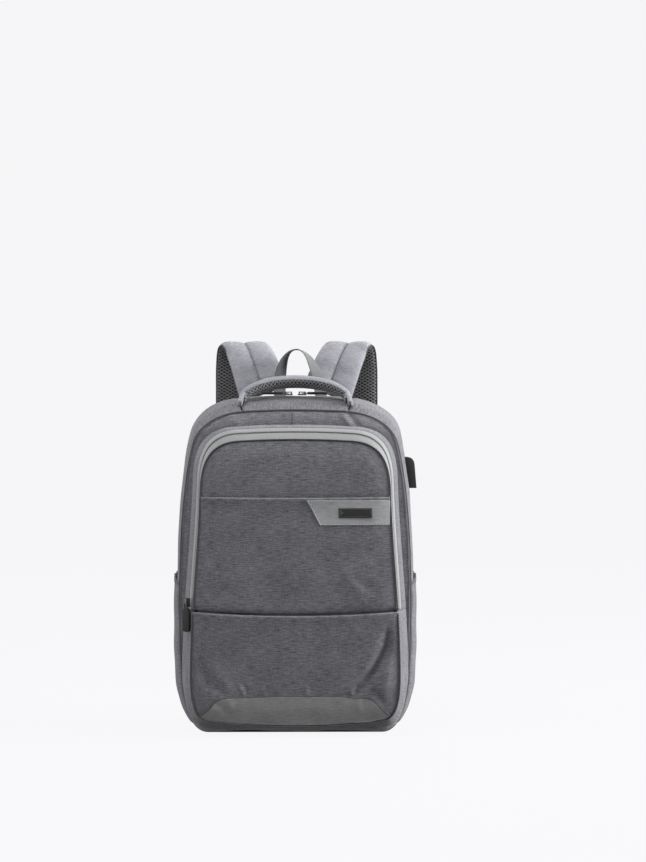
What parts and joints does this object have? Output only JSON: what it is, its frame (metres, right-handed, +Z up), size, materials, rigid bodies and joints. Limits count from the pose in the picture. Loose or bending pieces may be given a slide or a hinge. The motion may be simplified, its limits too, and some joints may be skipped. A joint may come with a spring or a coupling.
{
  "type": "laptop backpack",
  "caption": "Laptop backpack with a zipped compartment, arched front pocket, side pockets, padded straps, handle, hang loop and side USB charging port.",
  "frame": {"origin": "on the floor under the middle of the main compartment, standing upright on its base", "axes": "+Z up, -Y the front pocket's face, +Y the back pads and shoulder straps, +X to the right when seen from the front"},
  "size_m": [0.337, 0.227, 0.5257],
  "materials": {
    "heather_fabric": "matte heathered weave",
    "light_trim": "matte fine twill",
    "dark_trim": "matte",
    "air_mesh": "matte spacer mesh",
    "webbing": "matte ribbed",
    "lining": "matte",
    "rubber": "satin",
    "black_plastic": "fine texture",
    "steel": "plated",
    "black_metal": "satin"
  },
  "bodies": {
    "tub": {"top_panel": "heather_fabric", "side_panel_left": "heather_fabric", "side_panel_right": "heather_fabric", "base_panel": "heather_fabric", "main_front_panel": "heather_fabric", "main_front_piping": "dark_trim", "main_zip_tape_front": "dark_trim", "main_zip_coil": "dark_trim", "front_pocket_gusset": "heather_fabric", "front_zip_tape_gusset": "light_trim", "front_zip_coil": "dark_trim", "foot_piping": "dark_trim", "foot_panel": "heather_fabric", "foot_patch": "light_trim", "side_pocket_left": "heather_fabric", "side_pocket_right": "heather_fabric", "side_pocket_binding_left": "dark_trim", "side_pocket_binding_right": "dark_trim", "usb_port_housing": "black_plastic", "usb_port_socket": "steel", "usb_port_tongue": "black_plastic", "usb_port_washer": "black_plastic", "handle_anchor_left": "heather_fabric", "handle_anchor_right": "heather_fabric"},
    "flap": {"front_zip_tape_flap": "light_trim", "flap_piping": "dark_trim", "flap_upper_panel": "heather_fabric", "flap_lower_panel": "heather_fabric", "badge_patch": "light_trim", "badge_plate": "black_metal"},
    "back": {"main_zip_tape_rear": "dark_trim", "back_band": "heather_fabric", "back_board": "lining", "back_pad_left": "air_mesh", "back_pad_right": "air_mesh", "lumbar_pad": "air_mesh", "laptop_sleeve": "lining", "sleeve_strap": "dark_trim", "strap_yoke": "heather_fabric", "strap_tab_left": "heather_fabric", "strap_tab_right": "heather_fabric"},
    "carry_handle": {"carry_handle_cover": "heather_fabric", "carry_handle_mesh": "air_mesh"},
    "hang_loop": {"hang_loop": "webbing"},
    "main_slider_left": {"main_slider_left": "black_metal"},
    "main_slider_right": {"main_slider_right": "black_metal"},
    "main_pull_left": {"main_pull_left": "rubber"},
    "main_pull_right": {"main_pull_right": "rubber"},
    "front_slider": {"front_slider": "black_metal"},
    "front_pull": {"front_pull": "rubber"},
    "strap_left": {"strap_cover_left": "heather_fabric", "strap_mesh_left": "air_mesh", "strap_webbing_left": "webbing", "strap_tail_left": "webbing", "ladder_lock_left": "black_plastic"},
    "strap_right": {"strap_cover_right": "heather_fabric", "strap_mesh_right": "air_mesh", "strap_webbing_right": "webbing", "strap_tail_right": "webbing", "ladder_lock_right": "black_plastic"}
  },
  "joints": [
    {"name": "flap_fold", "type": "hinge", "parent": "tub", "child": "flap", "pos_m": [0, -0.0838, 0.1646], "axis": [1, 0, 0], "range_deg": [0, 110]},
    {"name": "back_open", "type": "hinge", "parent": "tub", "child": "back", "pos_m": [0, 0.064, 0.005], "axis": [-1, 0, 0], "range_deg": [0, 60]},
    {"name": "handle_swing", "type": "hinge", "parent": "tub", "child": "carry_handle", "pos_m": [0, -0.014, 0.447], "axis": [1, 0, 0], "range_deg": [-12, 75]},
    {"name": "loop_lean", "type": "hinge", "parent": "back", "child": "hang_loop", "pos_m": [0, 0.064, 0.4475], "axis": [1, 0, 0], "range_deg": [0, 35]},
    {"name": "main_slide_left", "type": "slide", "parent": "tub", "child": "main_slider_left", "axis": [1, 0, 0], "range_m": [0, 0.05]},
    {"name": "main_slide_right", "type": "slide", "parent": "tub", "child": "main_slider_right", "axis": [-1, 0, 0], "range_m": [0, 0.05]},
    {"name": "main_pull_left_lift", "type": "hinge", "parent": "main_slider_left", "child": "main_pull_left", "pos_m": [0.0092, 0.0477, 0.4538], "axis": [0, -1, 0], "range_deg": [0, 80]},
    {"name": "main_pull_right_lift", "type": "hinge", "parent": "main_slider_right", "child": "main_pull_right", "pos_m": [-0.0092, 0.0477, 0.4538], "axis": [0, 1, 0], "range_deg": [0, 80]},
    {"name": "front_slide", "type": "slide", "parent": "tub", "child": "front_slider", "axis": [0.061, 0, 0.9981], "range_m": [0, 0.09]},
    {"name": "front_pull_lift", "type": "hinge", "parent": "front_slider", "child": "front_pull", "pos_m": [-0.143, -0.07493, 0.177], "axis": [-0.866, 0.5, 0], "range_deg": [0, 80]},
    {"name": "strap_left_swing", "type": "hinge", "parent": "back", "child": "strap_left", "pos_m": [0.1305, 0.0754, 0.078], "axis": [0.2327, 0.001, -0.9725], "range_deg": [0, 30]},
    {"name": "strap_right_swing", "type": "hinge", "parent": "back", "child": "strap_right", "pos_m": [-0.1305, 0.0754, 0.078], "axis": [0.2327, -0.001, 0.9725], "range_deg": [0, 30]}
  ]
}
